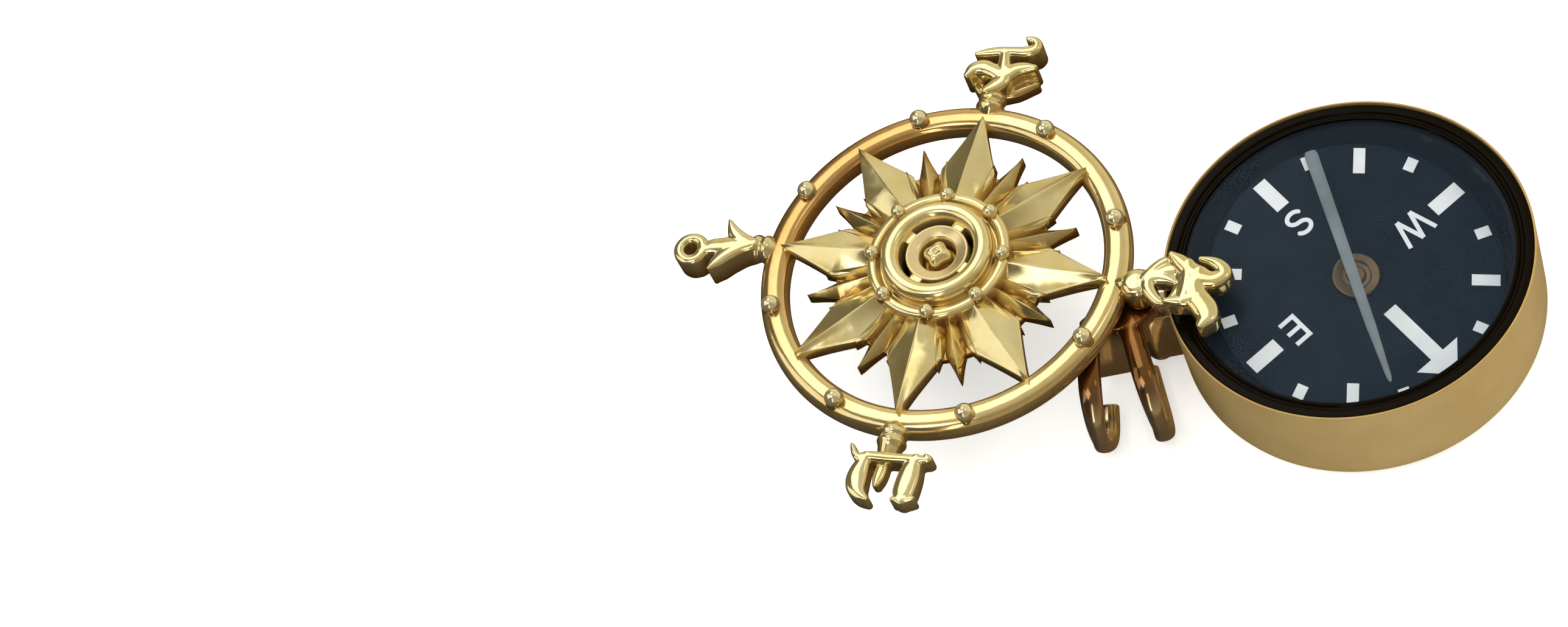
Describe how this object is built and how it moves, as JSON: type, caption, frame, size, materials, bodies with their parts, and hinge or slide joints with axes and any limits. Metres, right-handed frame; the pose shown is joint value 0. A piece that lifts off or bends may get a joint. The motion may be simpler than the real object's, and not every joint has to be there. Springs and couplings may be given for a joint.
{
  "type": "compass pendant",
  "caption": "Round gold pendant with a working compass, a pierced compass-rose cover that swings sideways on a pin, and a two-looped bail; shown open, lying on its back.",
  "frame": {"origin": "centre of the case's flat back face", "axes": "+Z from the back to the dial; the hinge pin stands on the -X side; the bail lies towards -Y"},
  "size_m": [0.0528, 0.032, 0.0107],
  "materials": {
    "polished_gold": "polished gold-coloured brass",
    "satin_gold": "satin gold-coloured brass",
    "bail_gold": "polished gold-coloured brass, bronze in its reflections",
    "black_housing": "satin black",
    "crystal": "clear",
    "grey_bar": "matt light steel grey",
    "navy_card": "matt dark navy",
    "white_marks": "white print",
    "hub_brass": "turned brass, dull"
  },
  "bodies": {
    "case_body": {"case": "satin_gold", "capsule": "black_housing", "crystal": "crystal", "lubber_bar": "grey_bar"},
    "cover_body": {"cover": "polished_gold", "hinge_pin": "polished_gold"},
    "bail_body": {"bail": "bail_gold"},
    "card_body": {"card": "navy_card", "card_marks": "white_marks", "card_hub": "hub_brass"}
  },
  "joints": [
    {"name": "cover_swivel", "type": "hinge", "parent": "case_body", "child": "cover_body", "pos_m": [-0.01256, 0, 0.0071], "axis": [0, 0, 1], "range_deg": [-160.7, 19.3]},
    {"name": "bail_swivel", "type": "hinge", "parent": "case_body", "child": "bail_body", "pos_m": [-0.01256, 0, 0.0064], "axis": [0, 0, 1], "range_deg": [-100, 18]},
    {"name": "card_spin", "type": "hinge", "parent": "case_body", "child": "card_body", "pos_m": [0.00015, 0.00025, 0.00415], "axis": [0, 0, 1], "continuous": true}
  ]
}
